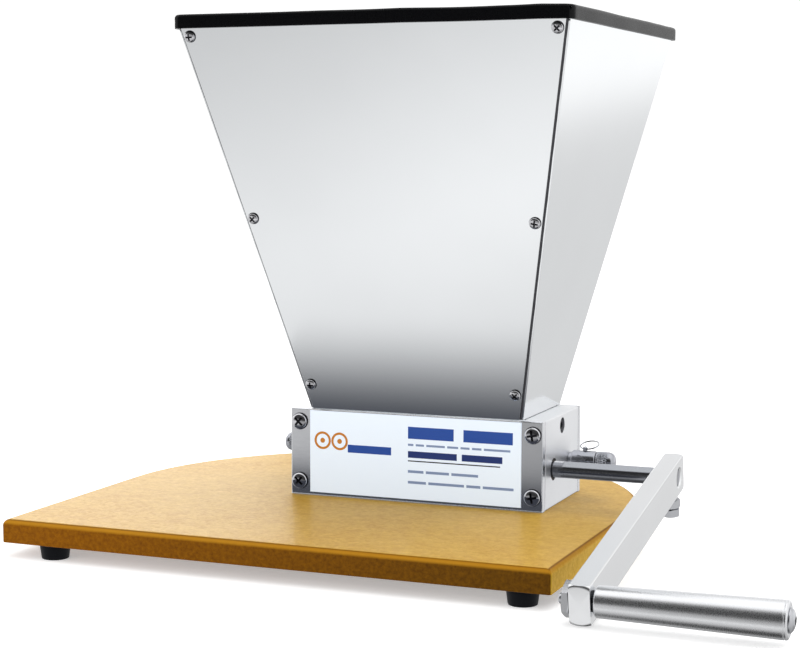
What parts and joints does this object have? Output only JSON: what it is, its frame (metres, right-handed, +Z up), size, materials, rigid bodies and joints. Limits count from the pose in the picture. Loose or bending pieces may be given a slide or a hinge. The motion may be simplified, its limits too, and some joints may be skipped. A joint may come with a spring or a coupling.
{
  "type": "two-roller grain mill",
  "caption": "Hand-cranked grain mill: square funnel hopper with black rim over a roller housing with cross-head screws, crank arm with turned handle, gap adjusters, wooden base on rubber feet.",
  "frame": {"origin": "centre of the whole object's box on the table that the feet stand on", "axes": "+X along the rollers towards the crank, +Y from the front plate to the rear plate, +Z up; -Y is the front with the label"},
  "size_m": [0.4652, 0.3541, 0.317],
  "materials": {
    "board_wood": "sealed fibreboard, pale top and darker routed edge",
    "rubber_feet": "matt black moulded rubber",
    "end_plate_metal": "machined, fine brushed",
    "cover_plate_metal": "machined, fine brushed",
    "label_film": "satin printed film, pale blue-white, left blank",
    "cover_screw_chrome": "bright plated pan head with cross recess",
    "base_bolt_steel": "zinc-plated cap bolt",
    "hopper_sheet": "satin rolled sheet with fine vertical grain",
    "rim_trim": "glossy black extruded edge trim",
    "hopper_screw_steel": "bright pan head with cross recess",
    "bush_bronze": "sintered bronze bush",
    "collar_metal": "bright turned steel",
    "roller_steel": "ground steel, fluted rollers and bright shaft",
    "crank_metal": "satin anodised bar",
    "set_screw_steel": "zinc-plated steel",
    "handle_bolt_steel": "bright domed socket head",
    "washer_black": "black nylon washer",
    "handle_metal": "bead-blasted satin",
    "pin_steel": "bright plated steel"
  },
  "bodies": {
    "frame": {"base_board": "board_wood", "foot_front_left": "rubber_feet", "foot_front_right": "rubber_feet", "foot_rear_left": "rubber_feet", "foot_rear_right": "rubber_feet", "end_plate_left": "end_plate_metal", "end_plate_right": "end_plate_metal", "front_plate": "cover_plate_metal", "rear_plate": "cover_plate_metal", "front_label": "label_film", "front_cover_screw_left_upper": "cover_screw_chrome", "front_cover_screw_left_lower": "cover_screw_chrome", "front_cover_screw_right_upper": "cover_screw_chrome", "front_cover_screw_right_lower": "cover_screw_chrome", "rear_cover_screw_left_upper": "cover_screw_chrome", "rear_cover_screw_left_lower": "cover_screw_chrome", "rear_cover_screw_right_upper": "cover_screw_chrome", "rear_cover_screw_right_lower": "cover_screw_chrome", "base_bolt_left_front": "base_bolt_steel", "base_bolt_left_rear": "base_bolt_steel", "base_bolt_right_front": "base_bolt_steel", "base_bolt_right_rear": "base_bolt_steel", "hopper_front_panel": "hopper_sheet", "hopper_rear_panel": "hopper_sheet", "hopper_side_left": "hopper_sheet", "hopper_side_right": "hopper_sheet", "hopper_rim_trim": "rim_trim", "front_hopper_screw_left_lower": "hopper_screw_steel", "front_hopper_screw_left_middle": "hopper_screw_steel", "front_hopper_screw_left_upper": "hopper_screw_steel", "front_hopper_screw_right_lower": "hopper_screw_steel", "front_hopper_screw_right_middle": "hopper_screw_steel", "front_hopper_screw_right_upper": "hopper_screw_steel", "rear_hopper_screw_left_lower": "hopper_screw_steel", "rear_hopper_screw_left_middle": "hopper_screw_steel", "rear_hopper_screw_left_upper": "hopper_screw_steel", "rear_hopper_screw_right_lower": "hopper_screw_steel", "rear_hopper_screw_right_middle": "hopper_screw_steel", "rear_hopper_screw_right_upper": "hopper_screw_steel", "hopper_retainer_left": "hopper_screw_steel", "hopper_retainer_right": "hopper_screw_steel", "drive_bush_left": "bush_bronze", "drive_bush_right": "bush_bronze", "lock_collar_left": "collar_metal", "lock_collar_right": "collar_metal"},
    "crank": {"drive_roller": "roller_steel", "crank_arm": "crank_metal", "crank_set_screw": "set_screw_steel", "handle_bolt": "handle_bolt_steel", "handle_nut": "set_screw_steel", "handle_washer": "washer_black"},
    "grip": {"handle_grip": "handle_metal"},
    "adjuster": {"gap_knob_left": "collar_metal", "gap_knob_right": "collar_metal"},
    "idler": {"idler_roller": "roller_steel"},
    "pin_left": {"lock_pin_left": "pin_steel"},
    "pin_right": {"lock_pin_right": "pin_steel"},
    "ring_left": {"pull_ring_left": "pin_steel"},
    "ring_right": {"pull_ring_right": "pin_steel"}
  },
  "joints": [
    {"name": "crank_turn", "type": "hinge", "parent": "frame", "child": "crank", "pos_m": [-0.0274, 0.0144, 0.0458], "axis": [1, 0, 0], "continuous": true},
    {"name": "grip_spin", "type": "hinge", "parent": "crank", "child": "grip", "pos_m": [-0.0274, -0.16706, 0.01299], "axis": [1, 0, 0], "continuous": true},
    {"name": "gap_adjust", "type": "hinge", "parent": "frame", "child": "adjuster", "pos_m": [-0.0274, 0.0479, 0.0463], "axis": [1, 0, 0], "range_deg": [-80, 80]},
    {"name": "idler_spin", "type": "hinge", "parent": "adjuster", "child": "idler", "pos_m": [-0.0274, 0.0479, 0.0453], "axis": [1, 0, 0], "continuous": true},
    {"name": "pin_left_pull", "type": "slide", "parent": "frame", "child": "pin_left", "axis": [0, 0, 1], "range_m": [0, 0.003]},
    {"name": "ring_left_swing", "type": "hinge", "parent": "pin_left", "child": "ring_left", "pos_m": [-0.1199, 0.0479, 0.0536], "axis": [0.9703, 0.2419, 0], "range_deg": [-30, 95]},
    {"name": "pin_right_pull", "type": "slide", "parent": "frame", "child": "pin_right", "axis": [0, 0, 1], "range_m": [0, 0.003]},
    {"name": "ring_right_swing", "type": "hinge", "parent": "pin_right", "child": "ring_right", "pos_m": [0.0651, 0.0479, 0.0536], "axis": [0.9703, -0.2419, 0], "range_deg": [-30, 95]}
  ]
}
